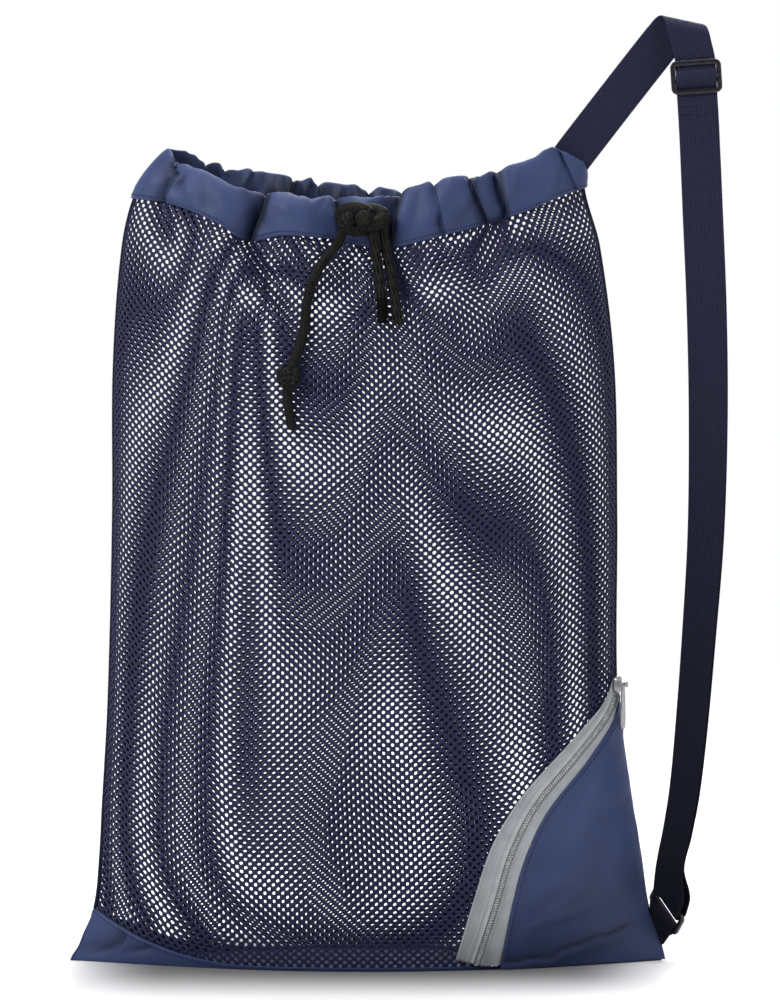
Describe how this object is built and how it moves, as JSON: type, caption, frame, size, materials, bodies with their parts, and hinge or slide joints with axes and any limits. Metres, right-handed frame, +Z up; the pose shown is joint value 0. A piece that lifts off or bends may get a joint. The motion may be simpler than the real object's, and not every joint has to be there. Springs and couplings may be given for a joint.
{
  "type": "mesh swim bag",
  "caption": "Tall soft bag of open net with a gathered draw-cord mouth, a zipped corner pocket and an adjustable webbing strap down one side, for carrying wet sports kit.",
  "frame": {"origin": "middle of the base on the floor, between the side corners and between front and back", "axes": "+Z up to the mouth and the strap, +Y from the front with the pocket to the back, +X to the side with the strap"},
  "size_m": [0.493, 0.1647, 0.7133],
  "materials": {
    "net": "navy polyester net with small staggered holes",
    "nylon": "navy nylon taffeta with a soft sheen",
    "zip_tape": "pale grey woven tape",
    "zip_teeth": "grey moulded coil",
    "metal": "bright plated zinc",
    "webbing": "dark navy ribbed webbing",
    "buckle": "dark moulded plastic with a soft gloss",
    "cord": "black braided cord"
  },
  "bodies": {
    "bag": {"front_mesh": "net", "back_mesh": "net", "base_panel": "nylon", "casing": "nylon", "pocket_panel": "nylon", "zip_tape_outer": "zip_tape", "zip_tape_inner": "zip_tape", "zip_coil": "zip_teeth", "zip_slider": "metal", "shoulder_strap": "webbing", "strap_slider": "buckle", "lower_loop": "buckle", "anchor_tab": "webbing", "draw_knot": "cord", "stop_knot": "cord", "draw_cord_left": "cord", "draw_cord_left_end": "cord", "draw_cord_right": "cord", "draw_cord_short": "cord"},
    "zip_pull": {"zip_pull": "metal"}
  },
  "joints": [
    {"name": "zip_pull_hinge", "type": "hinge", "parent": "bag", "child": "zip_pull", "pos_m": [0.19247, -0.01413, 0.212], "axis": [-0.4989, -0.8667, 0], "range_deg": [0, 150]}
  ]
}
